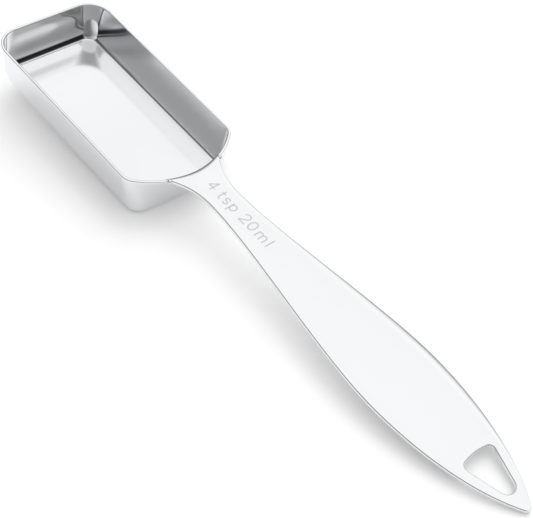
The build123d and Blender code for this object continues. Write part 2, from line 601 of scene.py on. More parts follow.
    def wall_shares(self) -> tuple[np.ndarray, np.ndarray, np.ndarray]:
        """What each column of the inner face belongs to.

        Returns:
            Shares of the long side and of the far end, and the inward direction, per column.
        """
        foot = self.outline(self.sheet, 1.0)
        along = np.gradient(foot, axis=0)
        along /= np.linalg.norm(along, axis=1, keepdims=True)
        side = np.clip(-along[:, 0], 0.0, 1.0) ** 6
        far = np.clip(-along[:, 1], 0.0, 1.0) ** 4 * (foot[:, 0] < -self.length / 2)
        inward = np.stack([-along[:, 1], along[:, 0], np.zeros(len(along))], 1)
        return side, far, inward

    def pressed(self, rows: np.ndarray) -> np.ndarray:
        """The inner face with the shallow waves that drawing leaves in its walls.

        Going up from the floor, the long side swells in by side_wave over the heights of
        side_rise and comes back over those of side_fall. The far end sinks back by far_wave in
        the same way. Both fade out towards the corners.

        Args:
            rows: places of the plain inner face.

        Returns:
            The same places with the waves.
        """
        side, far, inward = self.wall_shares()
        x, y = rows[..., 0], rows[..., 1]
        height = rows[..., 2] + self.depth - self.sheet
        across = np.exp(-((y / self.far_wave_half_width) ** 6))
        along = ease(*self.side_wave_from, x) * (1.0 - ease(*self.side_wave_to, x))
        swell = self.side_wave * (ease(*self.side_rise, height) - ease(*self.side_fall, height))
        sink = self.far_wave * (ease(*self.far_rise, height) - ease(*self.far_fall, height))
        shift = side * along * swell - far * across * sink
        return rows + shift[..., None] * inward

    def painted_crease_shade(self, rows: np.ndarray) -> np.ndarray:
        """How dark the painted shade in the fold between wall and floor is.

        It starts over the heights of crease_foot and ends over those of far_crease at the far
        end, and of side_crease at the long sides.

        Args:
            rows: places of the plain inner face.

        Returns:
            A share from 0 to 1 per place.
        """
        side, far, _ = self.wall_shares()
        height = rows[..., 2] + self.depth - self.sheet
        at_far = far**0.25 * (1.0 - ease(*self.far_crease, height))
        at_side = self.side_crease_level * side * (1.0 - ease(*self.side_crease, height))
        return np.maximum(at_far, at_side) * ease(*self.crease_foot, height)

    def rim_rows(
        self, round_out: np.ndarray, round_in: np.ndarray, start: np.ndarray
    ) -> np.ndarray:
        """Rows over the rim, from the outer face to the inner one.

        Two quarter rounds and the flat between them: each round leaves its face at its own size
        under the rim's height and meets the top at its own size from the face. At the angle a
        it is size (1 - cos a) from the face and size (1 - sin a) below the top.

        Args:
            round_out: size of the outer round per column.
            round_in: size of the inner round per column.
            start: depth of the rim's top per column.

        Returns:
            Places with the shape rows, columns, 3.
        """
        outer = np.pad(self.outline(0.0, 0.0), ((0, 0), (0, 1)))
        inner = np.pad(self.outline(self.sheet, 0.0), ((0, 0), (0, 1)))
        foot = self.outline(0.0, 1.0)
        slope = np.pad(foot - outer[:, :2], ((0, 0), (0, 1))) / self.depth
        wide = inner - outer
        wide_length = np.linalg.norm(wide, axis=1, keepdims=True)
        angle = np.linspace(0.0, math.pi / 2, 8)[:, None, None]

        def at(share: np.ndarray, below: np.ndarray) -> np.ndarray:
            """Places at a share of the way across the rim and a depth below its plane."""
            flat = outer + wide * share + slope * below
            return flat + np.array([0.0, 0.0, -1.0]) * below

        from_face, from_top = 1.0 - np.cos(angle), 1.0 - np.sin(angle)
        size = round_out[:, None]
        first = at(size / wide_length * from_face, start[:, None] + size * from_top)
        size = round_in[:, None]
        from_face, from_top = from_face[::-1], from_top[::-1]
        last = at(1.0 - size / wide_length * from_face, start[:, None] + size * from_top)
        return np.concatenate([first, last])

    def surface(self) -> Surface:
        """The whole bowl, notched for the handle's root.

        Returns:
            One closed surface: outer face, rim and inner face in rows, and their mirror image.
        """
        half = self.outline(0.0, 0.0)
        count = len(half)
        seat = (half[:, 1] < self.notch_side) & (half[:, 0] > -self.length / 2)
        start = np.where(seat, self.notch_depth, 0.0)
        round_out = np.where(seat, self.notch_round, self.outer_rim_round)
        round_in = np.where(seat, self.notch_round, self.rim_round)
        outside = self.skin_rows(0.0, self.depth, start + round_out, 12)[::-1]
        inside = self.skin_rows(self.sheet, self.depth - self.sheet, start + round_in, 64)[1:]
        over = self.rim_rows(round_out, round_in, start)
        rows = np.concatenate([outside[:-1], over, self.pressed(inside)])
        # Painted shade in the fold between wall and floor, on the inner face only.
        crease_shade = np.concatenate([np.zeros((len(rows) - len(inside), count)), self.painted_crease_shade(inside)])
        faces = sheet_faces(len(rows), count, False)
        part = Surface(rows.reshape(-1, 3), faces, {"crease_shade": crease_shade.ravel()})
        return part.joined(part.mirrored())

    def build(self) -> bpy.types.Object:
        """The bowl in the scene, in place of its plain solid.

        Returns:
            The object.
        """
        piece = put_in_scene("spoon_bowl", self.surface(), self.finish.build())
        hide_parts("bowl")
        return piece


# Handle


def bezier(p0: tuple, p1: tuple, p2: tuple, p3: tuple, steps: int) -> np.ndarray:
    """Points of a cubic curve: its poles times (1-t)^3, 3(1-t)^2 t, 3(1-t) t^2 and t^3, summed.

    Args:
        p0: start.
        p1: first pole.
        p2: second pole.
        p3: end.
        steps: number of steps.

    Returns:
        x and y per row, with both ends.
    """
    t = np.linspace(0.0, 1.0, steps + 1)[:, None]
    s = 1.0 - t
    weights = np.concatenate([s**3, 3 * s**2 * t, 3 * s * t**2, t**3], 1)
    return weights @ np.array([p0, p1, p2, p3])


def upright_arc(
    centre: np.ndarray, out: np.ndarray, size: np.ndarray, turns: np.ndarray
) -> np.ndarray:
    """Arcs in upright planes: centre + size (sin t out + cos t up).

    Args:
        centre: centre of each arc.
        out: level direction of each arc's plane.
        size: radius of each arc, as a column.
        turns: angles from straight up, one row per arc.

    Returns:
        Places with the shape arcs, angles, 3.
    """
    flat = centre[:, None, :2] + (size * np.sin(turns))[..., None] * out[:, None, :]
    return np.concatenate([flat, (centre[:, None, 2] + size * np.cos(turns))[..., None]], 2)


@dataclass
class Handle:
    """The stamped strip: crowned, with edges rolled down, a hanging hole and a cut mark."""

    length: float = 113.0
    thickness: float = 1.2
    root_half_width: float = 7.8
    neck_half_width: float = 4.32
    belly_half_width: float = 10.8
    neck_place: float = 11.6
    belly_place: float = 73.2
    tip_radius: float = 1.3
    edge_round: float = 0.44
    bend_radius: float = 1.0
    bend_reach: float = 1.7
    # Painted shade on the root's bend: how dark it is, and how far across it reaches.
    bend_shade_level: float = 0.7
    bend_shade_half_width: float = 7.6
    root_reach: float = 1.2
    root_fall: float = 0.45
    neck_reach_to_root: float = 7.3
    neck_reach_to_belly: float = 16.3
    belly_reach_to_neck: float = 17.3
    belly_reach_to_tip: float = 7.2
    tip_reach: float = 12.9
    tip_rise: float = 9.8
    hole_tip_gap: float = 5.9
    hole_length: float = 11.3
    hole_half_width: float = 4.55
    hole_back_bow: float = 0.35
    hole_front_radius: float = 2.2
    hole_back_radius: float = 1.3
    inner_place: float = 0.39
    wall_bow_radius: float = 22.0
    bow_end: float = 5.0
    lift: float = 0.4
    swells: tuple[tuple[float, float], ...] = (
        (0.0, 0.04),
        (3.0, 0.1),
        (7.0, 0.3),
        (12.0, 0.36),
        (25.0, 0.4),
        (42.0, 0.58),
        (60.0, 0.82),
        (74.0, 0.92),
        (90.0, 0.72),
        (101.0, 0.34),
        (108.0, 0.2),
        (113.0, 0.06),
    )
    crown_share: float = 0.25
    edge_slope: float = 0.5
    edge_share: float = 0.42
    mark_end: float = 29.8
    mark_step: float = 0.125
    lag_start: float = 80.0
    lag: float = 3.4
    hole_approach: float = 88.0
    hole_walk: tuple[float, ...] = (0.0, 3.3, 5.2, 13.4)
    hole_ends: tuple[float, ...] = (92.2, 94.6, 97.4, 106.2, 108.8)
    finish: SteelFinish = SteelFinish(
        name="handle_steel",
        gloss=0.14,
        lines=0.03,
        haze=0.03,
        wave_height=0.03,
        wave_size=30.0,
        # The cut attribute darkens the steel in the mark's strokes and, as painted shade, on the
        # root's bend.
        trace=Trace("cut", (0.5, 0.51, 0.53, 1.0), 0.35),
    )

    def flank(self) -> np.ndarray:
        """Half plan of the handle from the root to the tip, with the tip's round.

        Returns:
            x and y per row, evenly spaced along the curve except where it is finer.
        """
        root, neck = (0.0, self.root_half_width), (self.neck_place, self.neck_half_width)
        belly, tip = (self.belly_place, self.belly_half_width), (self.length, 0.0)
        first = bezier(
            root,
            (self.root_reach, self.root_half_width - self.root_fall),
            (self.neck_place - self.neck_reach_to_root, self.neck_half_width),
            neck,
            400,
        )
        second = bezier(
            neck,
            (self.neck_place + self.neck_reach_to_belly, self.neck_half_width),
            (self.belly_place - self.belly_reach_to_neck, self.belly_half_width),
            belly,
            800,
        )
        third = bezier(
            belly,
            (self.belly_place + self.belly_reach_to_tip, self.belly_half_width),
            (self.length - self.tip_reach, self.tip_rise),
            tip,
            1600,
        )
        return np.concatenate([first, second[1:], self.rounded_tip(third)[1:]])

    def rounded_tip(self, curve: np.ndarray) -> np.ndarray:
        """The last curve of the flank with a round of tip_radius about a point of the centre line.

        The round's centre is where the curve's inward offset by the radius crosses y = 0.

        Args:
            curve: x and y per row, ending in the sharp tip.

        Returns:
            The curve up to the round, and then the round.
        """
        along = np.gradient(curve, axis=0)
        along /= np.linalg.norm(along, axis=1, keepdims=True)
        inner = curve + self.tip_radius * np.stack([along[:, 1], -along[:, 0]], 1)
        last = int(np.argmax(inner[:, 1] < 0.0))
        centre = np.array([inner[last, 0], 0.0])
        start = math.atan2(curve[last, 1], curve[last, 0] - centre[0])
        angle = np.linspace(start, 0.0, 60)[:, None]
        tip = centre + self.tip_radius * np.concatenate([np.cos(angle), np.sin(angle)], 1)
        return np.concatenate([curve[:last], tip])

    def hole(self) -> np.ndarray:
        """Half plan of the hanging hole from the middle of its back to the middle of its front.

        The back bows a little, and two arcs with a straight side between them follow. The side
        touches both arcs.

        Returns:
            x and y per row.
        """
        back_place = self.hole_back()
        front = back_place + self.hole_length - self.hole_front_radius
        back = back_place + self.hole_back_bow
        rise = self.hole_half_width - self.hole_back_radius
        run = front - back - self.hole_back_radius
        lean = math.atan2(rise, run) - math.asin(
            (self.hole_front_radius - self.hole_back_radius) / math.hypot(rise, run)
        )
        corner = np.array([back + self.hole_back_radius, rise])
        share = np.linspace(0.0, 1.0, 20)[:, None]
        bow = np.concatenate([back_place + self.hole_back_bow * share**2, rise * share], 1)
        angle = np.linspace(math.pi, math.pi / 2 - lean, 24)[1:, None]
        turn = corner + self.hole_back_radius * np.concatenate([np.cos(angle), np.sin(angle)], 1)
        angle = np.linspace(math.pi / 2 - lean, 0.0, 24)[:, None]
        nose = np.array([front, 0.0]) + self.hole_front_radius * np.concatenate(
            [np.cos(angle), np.sin(angle)], 1
        )
        side = turn[-1] + (nose[0] - turn[-1]) * np.linspace(0.0, 1.0, 30)[1:-1, None]
        return np.concatenate([bow, turn, side, nose])

    def swell(self, x: np.ndarray) -> np.ndarray:
        """How far the middle of the upper face stands above its long edges at places along it.

        A smooth curve through the swells: between two of them a cubic with both their values
        and slopes.

        Args:
            x: places along the handle.

        Returns:
            The swell at each place.
        """
        places, values = np.array(self.swells).T
        slopes = np.gradient(values, places)
        cell = np.clip(np.searchsorted(places, x) - 1, 0, len(places) - 2)
        size = places[cell + 1] - places[cell]
        t = np.clip((x - places[cell]) / size, 0.0, 1.0)
        start = values[cell] * (1 + 2 * t) * (1 - t) ** 2 + slopes[cell] * size * t * (1 - t) ** 2
        end = values[cell + 1] * t**2 * (3 - 2 * t) - slopes[cell + 1] * size * t**2 * (1 - t)
        return np.maximum(start + end, 0.0)

    def height(self, x: np.ndarray, y: np.ndarray, half: np.ndarray) -> np.ndarray:
        """Height of the upper face: a shallow crown whose long edges are rolled down and level.

        With u the share of the half width, the face falls from its swell by crown_share of it
        times u^2 plus the rest times u^n. The power n is such that the edge slopes by
        edge_slope.

        Args:
            x: places along the handle.
            y: places across it.
            half: half width of the handle there.

        Returns:
            Heights above the rim's plane.
        """
        swell = self.swell(x)
        share = np.clip(np.abs(y) / np.maximum(half, 1e-6), 0.0, 1.0)
        rest = 1.0 - self.crown_share
        steep = self.edge_slope * half / np.maximum(swell, 1e-6)
        power = np.clip((steep - 2.0 * self.crown_share) / rest, 3.0, 24.0)
        fall = self.crown_share * share**2 + rest * share**power
        return self.lift + swell * (1.0 - fall)

    def wall_bow(self, y: np.ndarray) -> np.ndarray:
        """How far the bowl's arched inner wall has curved back at a place across."""
        return self.wall_bow_radius - np.sqrt(self.wall_bow_radius**2 - y**2)

    def half_at(self, x: np.ndarray) -> np.ndarray:
        """Half width of the plan, which flares on evenly behind the root.

        Args:
            x: places along the handle.

        Returns:
            The half width at each place.
        """
        flank = self.flank()
        behind = self.root_half_width - x * self.root_fall / self.root_reach
        return np.where(x < 0.0, behind, np.interp(x, flank[:, 0], flank[:, 1]))

    def hole_back(self) -> float:
        """Where the hanging hole's back stands."""
        return self.length - self.hole_tip_gap - self.hole_length

    def starts(self) -> tuple[np.ndarray, np.ndarray]:
        """Where the lines across leave the centre line, from the root to the hanging hole.

        The first ones follow the bend: with the angle a from 0 to a quarter turn they stand
        at inner_place + bend_reach (1 - cos a). The next ones are close together under the
        mark.

        Returns:
            The angles of the first ones, and x of all of them.
        """
        turn = np.linspace(0.0, math.pi / 2, 14)
        bend_x = self.inner_place + self.bend_reach * (1.0 - np.cos(turn))
        back = self.hole_back() - self.edge_round
        parts = [
            bend_x,
            np.linspace(bend_x[-1], self.bow_end, 14)[1:],
            np.arange(self.bow_end, self.mark_end, self.mark_step)[1:],
            np.linspace(self.mark_end + 0.1, self.hole_approach, 74),
            np.linspace(self.hole_approach, back, 12)[1:],
        ]
        return turn, np.concatenate(parts)

    def arched_ends(self, start_x: np.ndarray, arched: np.ndarray) -> tuple[np.ndarray, np.ndarray]:
        """Outer ends of the lines before the hanging hole, on the flank.

        A line's end stands back from its start by the lag and by the wall's bow there. As the
        bow depends on the end's own place, it is put in again and again until it holds.

        Args:
            start_x: where the lines leave the centre line.
            arched: how much of the wall's bow each line takes.

        Returns:
            Outer ends, and the direction of the flank at them.
        """
        back = self.hole_back() - self.edge_round
        straight_x = start_x - self.lag * ease(self.lag_start, back, start_x)
        out_x = straight_x
        for _ in range(24):
            out_x = straight_x - arched * self.wall_bow(self.half_at(out_x))
        step = 0.02
        rise = self.half_at(out_x + step) - self.half_at(out_x - step)
        ends = np.stack([out_x, self.half_at(out_x)], 1)
        return ends, np.stack([np.full_like(rise, 2 * step), rise], 1)

    def around_hole(self) -> tuple[np.ndarray, np.ndarray, np.ndarray]:
        """Inner ends of the lines beside the hanging hole.

        Returns:
            The ends, the direction into the hole at each, and the way walked to each.
        """
        hole = self.hole()
        along = np.gradient(hole, axis=0)
        along /= np.linalg.norm(along, axis=1, keepdims=True)
        into = np.stack([along[:, 1], -along[:, 0]], 1)
        into[0], into[-1] = (1.0, 0.0), (-1.0, 0.0)
        steps = np.linalg.norm(np.diff(hole, axis=0), axis=1)
        return hole, into, np.concatenate([[0.0], np.cumsum(steps)])

    def stations(self) -> tuple[np.ndarray, ...]:
        """Lines across the half handle, each from its inner end to its outer end.

        The first few follow the bend of the root and are as arched as the bowl's wall. The
        arch fades out, and lines square to the centre line follow, then lines that turn round
        the hanging hole, and lines that fan round the tip.

        Returns:
            Inner ends and outer ends as x and y per row, the outward direction at the outer
            ends, the direction into the hole (zero where there is none), the angle of the
            root's bend, from 0 at its inner end to a quarter turn, and the share of the arch.
        """
        flank = self.flank()
        steps = np.linalg.norm(np.diff(flank, axis=0), axis=1)
        reach = np.concatenate([[0.0], np.cumsum(steps)])
        turn, start_x = self.starts()
        arched = 1.0 - ease(start_x[len(turn) - 1], self.bow_end, start_x)
        ends, direction = self.arched_ends(start_x, arched)
        hole, into, walk = self.around_hole()
        hole_ends = np.interp(self.hole_ends, flank[:, 0], reach)
        hole_reach = np.interp(walk, [*self.hole_walk, walk[-1]], hole_ends)
        share = np.linspace(0.0, 1.0, 34)[1:]
        tip_reach = hole_ends[-1] + (reach[-1] - hole_ends[-1]) * share
        front = hole[-1, 0] + self.edge_round
        tip_x = front + (flank[-1, 0] - self.edge_round - front) * share
        far_reach = np.concatenate([hole_reach, tip_reach])
        far_ends = np.stack([np.interp(far_reach, reach, flank[:, i]) for i in (0, 1)], 1)
        slope = np.gradient(flank, reach, axis=0)
        far_slope = np.stack([np.interp(far_reach, reach, slope[:, i]) for i in (0, 1)], 1)
        outer = np.concatenate([ends, far_ends])
        direction = np.concatenate([direction, far_slope])
        direction /= np.linalg.norm(direction, axis=1, keepdims=True)
        outward = np.stack([-direction[:, 1], direction[:, 0]], 1)
        outward[-1] = (1.0, 0.0)
        before, after = np.zeros((len(start_x), 2)), np.zeros((len(tip_x), 2))
        inner = np.concatenate([before, hole, after])
        inner[: len(before), 0], inner[-len(after) :, 0] = start_x, tip_x
        into = np.concatenate([before, into, after])
        bend = np.full(len(inner), math.pi / 2)
        bend[: len(turn)] = turn
        arched = np.concatenate([arched, np.zeros(len(inner) - len(arched))])
        return inner, outer, outward, into, bend, arched

    def loop_faces(self, rows: int, columns: int, outside: int, holed: np.ndarray) -> np.ndarray:
        """Faces between the loops, and the flat cap under the bend's inner end.

        Args:
            rows: number of loops.
            columns: vertices in a loop.
            outside: how many of them aren't on the hanging hole's wall.
            holed: whether each loop runs beside the hole.

        Returns:
            Four vertex numbers per face.
        """
        faces = sheet_faces(rows, columns, True)
        column = np.tile(np.arange(columns), rows - 1)
        row = np.repeat(np.arange(rows - 1), columns)
        beside = holed[row] & holed[row + 1]
        faces = faces[(column < outside - 1) | beside][:, ::-1]
        pair = np.arange(outside // 2 - 1)
        last = outside - 1 - pair
        return np.concatenate([faces, np.stack([pair, pair + 1, last - 1, last], 1)])

    def half_surface(self, mark: "CapacityMark") -> Surface:
        """The handle's +Y half: at each station one loop round the section.

        The loop runs over the upper face, round the outer edge, back under the handle and,
        beside the hanging hole, up its wall. Each edge is an arc of edge_round whose centre is
        set in from the plan's outline by the same radius.

        Args:
            mark: the strokes that are cut into the upper face.

        Returns:
            The open half, whose rim lies on the plane y = 0.
        """
        inner, outer, outward, into, bend, arched = self.stations()
        shape = lambda xy: self.height(xy[..., 0], xy[..., 1], self.half_at(xy[..., 0]))
        quarter = math.pi / 2
        sink = self.bend_radius * (1.0 - np.sin(bend))
        edge = np.minimum(self.edge_round, self.edge_share * (self.thickness - sink))[:, None]
        step = 0.02
        slope = np.arctan2(shape(outer - step * outward) - shape(outer), step)[:, None]
        slope = np.clip(slope, 0.0, 1.0)
        over = outer - edge * (1.0 - np.sin(slope)) * outward
        under = outer - edge * (1.0 + np.sin(slope)) * outward
        lip = inner - self.edge_round * into
        near_edge = 0.46 + 0.54 * (1.0 - np.linspace(1.0, 0.0, 20)[1:] ** 1.7)
        across = np.concatenate([np.linspace(0.0, 0.46, 23), near_edge])

        def face(end: np.ndarray, lower: bool) -> np.ndarray:
            """Rows of one face, its shape sunk by the bend or by the thickness."""
            xy = lip[:, None, :] + (end - lip)[:, None, :] * across[None, :, None]
            z = shape(xy) - (self.thickness if lower else sink[:, None])
            return np.concatenate([xy, z[..., None]], 2)

        top, base = face(over, False), face(under, True)
        inset, drop = edge * np.sin(slope) * outward, edge * np.cos(slope)
        upper = np.concatenate([over - inset, top[:, -1, 2:] - drop], 1)
        lower = np.concatenate([under + inset, base[:, -1, 2:] + drop], 1)
        share = np.linspace(0.0, 1.0, 8)
        first = upright_arc(upper, outward, edge, slope + (quarter - slope) * share[1:])
        second = upright_arc(lower, outward, edge, quarter + (quarter + slope) * share[:-1])
        lip_edge = np.full_like(edge, self.edge_round)
        low = np.concatenate([lip, base[:, 0, 2:] + lip_edge], 1)
        high = np.concatenate([lip, top[:, 0, 2:] - lip_edge], 1)
        turns = np.ones_like(edge) * np.linspace(math.pi, 0.0, 13)
        third = upright_arc(low, into, lip_edge, turns[:, 1:7])
        fourth = upright_arc(high, into, lip_edge, turns[:, 6:-1])
        cut = mark.depth_share(top[..., 0], top[..., 1])
        top[..., 2] -= mark.depth * cut
        loop = np.concatenate([top, first, second, base[:, ::-1], third, fourth], 1)
        end = np.maximum(outer[:, 1:], 1.0)
        level = self.wall_bow(end) * loop[..., 1] / end
        loop[..., 0] += arched[:, None] * (level - self.wall_bow(loop[..., 1]))
        outside = loop.shape[1] - third.shape[1] - fourth.shape[1]
        holed = np.abs(into).sum(1) > 0.5
        faces = self.loop_faces(*loop.shape[:2], outside, holed)
        values = np.zeros(loop.shape[:2])
        # Painted shade: the root's bend is darkened, most across the middle and fading out along
        # the bend.
        taper = 1.0 - np.clip(top[..., 1] / self.bend_shade_half_width, 0.0, 1.0) ** 2
        bend_shade = self.bend_shade_level * (1.0 - ease(1.0, quarter, bend))[:, None] * taper
        values[:, : top.shape[1]] = np.maximum(cut, bend_shade)
        return Surface(loop.reshape(-1, 3), faces, {"cut": values.ravel()})

    def build(self, mark: "CapacityMark") -> bpy.types.Object:
        """The handle in the scene, in place of its plain solid.

        Args:
            mark: the strokes that are cut into the upper face.

        Returns:
            The object.
        """
        left = self.half_surface(mark)
        right = self.half_surface(mark.seen_from_the_other_side()).mirrored()
        piece = put_in_scene("spoon_handle", left.joined(right), self.finish.build())
        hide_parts("handle")
        return piece


# Capacity mark


@dataclass(frozen=True)
class CapacityMark:
    """Plain single-stroke figures cut into the handle: the spoon's capacity.

    Each stroke is a line of points. The cut is deepest on the line and fades as a bell curve
    of the distance from it.
    """

    baseline: float = -1.3
    slope: float = -0.013
    height: float = 2.95
    depth: float = 0.03
    half_stroke: float = 0.15
    side: float = 1.0
    window: tuple[float, float, float] = (5.0, 29.7, 3.2)

    def seen_from_the_other_side(self) -> "CapacityMark":
        """The same mark for the half that is built mirrored."""
        return replace(self, side=-1.0)

    def arc(self, x: float, y: float, rx: float, ry: float, *span: float) -> np.ndarray:
        """Points of an oval arc: x + rx cos t and y + ry sin t.

        Args:
            x: its centre along the handle.
            y: its centre across.
            rx: its half size along.
            ry: its half size across.
            span: where the angle t starts and stops, in degrees.

        Returns:
            x and y per row.
        """
        steps = max(4, int(abs(span[1] - span[0]) / 12))
        angle = np.radians(np.linspace(*span, steps))
        return np.stack([x + rx * np.cos(angle), y + ry * np.sin(angle)], 1)

    def figures(self) -> list[tuple[float, list[np.ndarray]]]:
        """The figures, one stroke after another.

        Returns:
            Each figure's place along the handle and its strokes, with the baseline at 0.
        """
        tall, low = self.height, 0.68 * self.height
        oval, line = self.arc, np.array
        four = [line([[1.4, 0.0], [1.4, tall], [0.0, 0.9], [1.95, 0.9]])]
        tee = [
            np.concatenate([line([[0.45, 0.92 * tall]]), oval(0.95, 0.5, 0.5, 0.5, 180, 280)]),
            line([[0.0, low], [1.05, low]]),
        ]
        upper = oval(0.72, 1.5, 0.62, 0.5, 40, 265)
        ess = [np.concatenate([upper, oval(0.76, 0.5, 0.66, 0.5, 90, -140)])]
        pee = [line([[0.0, low], [0.0, -0.85]]), oval(0.82, low / 2, 0.8, low / 2, 0, 360)]
        bow = oval(0.92, tall - 0.86, 0.88, 0.86, 165, -35)
        two = [np.concatenate([bow, line([[0.0, 0.0], [1.95, 0.0]])])]
        nought = [oval(0.9, tall / 2, 0.92, tall / 2, 0, 360)]
        em = [
            line([[0.0, 0.0], [0.0, low]]),
            np.concatenate([oval(0.68, low - 0.62, 0.66, 0.62, 175, 0), line([[1.34, 0.0]])]),
            np.concatenate([oval(2.02, low - 0.62, 0.66, 0.62, 175, 0), line([[2.68, 0.0]])]),
        ]
        ell = [line([[0.0, 0.0], [0.0, tall]])]
        return [
            (6.05, four),
            (9.95, tee),
            (11.9, ess),
            (14.4, pee),
            (18.4, two),
            (21.2, nought),
            (24.35, em),
            (28.4, ell),
        ]

    def depth_share(self, x: np.ndarray, y: np.ndarray) -> np.ndarray:
        """How deep the cut is at places of the upper face, from 0 to 1.

        Args:
            x: places along the handle.
            y: places across it, on the half that is being built.

        Returns:
            The share of the full depth: exp of minus the squared distance to the nearest
            stroke, over the squared half stroke.
        """
        strokes = [
            (line + [start, self.baseline + self.slope * start])
            for start, figure in self.figures()
            for line in figure
        ]
        tails = np.concatenate([line[:-1] for line in strokes])
        heads = np.concatenate([line[1:] for line in strokes])
        share = np.zeros(x.shape)
        close = (x > self.window[0]) & (x < self.window[1]) & (np.abs(y) < self.window[2])
        places = np.stack([x[close], y[close] * self.side], 1)
        run = heads - tails
        offset = places[:, None, :] - tails[None]
        along = np.clip((offset * run).sum(2) / np.maximum((run**2).sum(1), 1e-9), 0.0, 1.0)
        gap = np.linalg.norm(offset - along[..., None] * run[None], axis=2).min(axis=1)
        share[close] = np.exp(-((gap / self.half_stroke) ** 2))
        return share


# Welds


@dataclass(frozen=True)
class Welds:
    """Weld metal: a bead at each end of the seam, and the seam under the handle's root."""

    bead_radius: float = 0.66
    bead_drop: float = 0.05
    bead_place: float = 0.1
    root_half_width: float = 7.8
    seam_leg: float = 1.1
    seam_half_length: float = 5.2
    under: float = 0.8
    wall_place: float = 1.15
    wall_slope: float = 0.312
    wall_radius: float = 22.8
    ripple: float = 0.03
    seam_ripple: float = 0.06
    seam_ripples: float = 60.0
    finish: SteelFinish = SteelFinish(
        name="weld_steel",
        gloss=0.34,
        lines=0.1,
        haze=0.1,
        wave_height=0.06,
        wave_size=300.0,
        tone=Tone.WELD,
    )

    def bead(self) -> Surface:
        """A ball with shallow ripples: radius times 1 + ripple sin(9 t) sin(3 u) sin(t).

        Returns:
            The +Y bead.
        """
        t = np.linspace(0.0, math.pi, 33)[:, None]
        u = np.linspace(0.0, 2 * math.pi, 65)[None, :-1]
        wave = np.sin(9 * t) * np.sin(3 * u) * np.sin(t)
        radius = self.bead_radius * (1.0 + self.ripple * wave)
        x = self.bead_place + radius * np.sin(t) * np.cos(u)
        y = self.root_half_width + radius * np.sin(t) * np.sin(u)
        z = -self.bead_drop - radius * np.cos(t) * np.ones_like(u)
        return Surface(np.stack([x, y, z], -1).reshape(-1, 3), sheet_faces(33, 64, True))

    def seam(self) -> Surface:
        """A hollow-faced fillet carried along the root, with ripples and rounded ends.

        The section's open side is a quarter oval that curves in. Along the seam its legs
        change as 1 + seam_ripple sin, and they shrink to nothing at the ends as the root of
        1 - u^8, with u the share of the half length.

        Returns:
            The closed seam.
        """
        along = np.linspace(-1.0, 1.0, 161)[:, None]
        size = np.sqrt(np.maximum(1.0 - along**8, 0.0))
        size *= 1.0 + self.seam_ripple * np.sin(along * self.seam_ripples)
        t = np.linspace(0.0, math.pi / 2, 11)[None, :]
        corner_x, corner_z = self.wall_place - 0.2, -self.under + 0.1
        bow = (along * self.seam_half_length) ** 2 / (2.0 * self.wall_radius)
        swell = np.concatenate([1.0 - 0.9 * np.sin(t), np.zeros((1, 1))], 1)
        rise = np.concatenate([1.0 - 0.9 * np.cos(t), np.zeros((1, 1))], 1)
        z = corner_z - 0.9 * self.seam_leg * size * rise
        x = corner_x - bow + 1.3 * self.seam_leg * size * swell + (z - corner_z) * self.wall_slope
        y = along * self.seam_half_length * np.ones_like(x)
        grid = np.stack([x, y, z], -1)
        middle = grid.mean(axis=1, keepdims=True) * np.ones_like(grid)
        grid = np.concatenate([middle[:1], grid, middle[-1:]])
        return Surface(grid.reshape(-1, 3), sheet_faces(len(grid), grid.shape[1], True))

    def build(self) -> list[bpy.types.Object]:
        """The two beads and the seam in the scene, in place of their plain solids.

        Returns:
            The three objects.
        """
        metal = self.finish.build()
        left = self.bead()
        pieces = [
            (put_in_scene("spoon_weld_bead_left", left, metal), "weld_bead_left"),
            (put_in_scene("spoon_weld_bead_right", left.mirrored(), metal), "weld_bead_right"),
            (put_in_scene("spoon_root_weld", self.seam(), metal), "root_weld"),
        ]
        for piece, node in pieces:
            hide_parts(node)
        return [piece for piece, _ in pieces]


# Studio


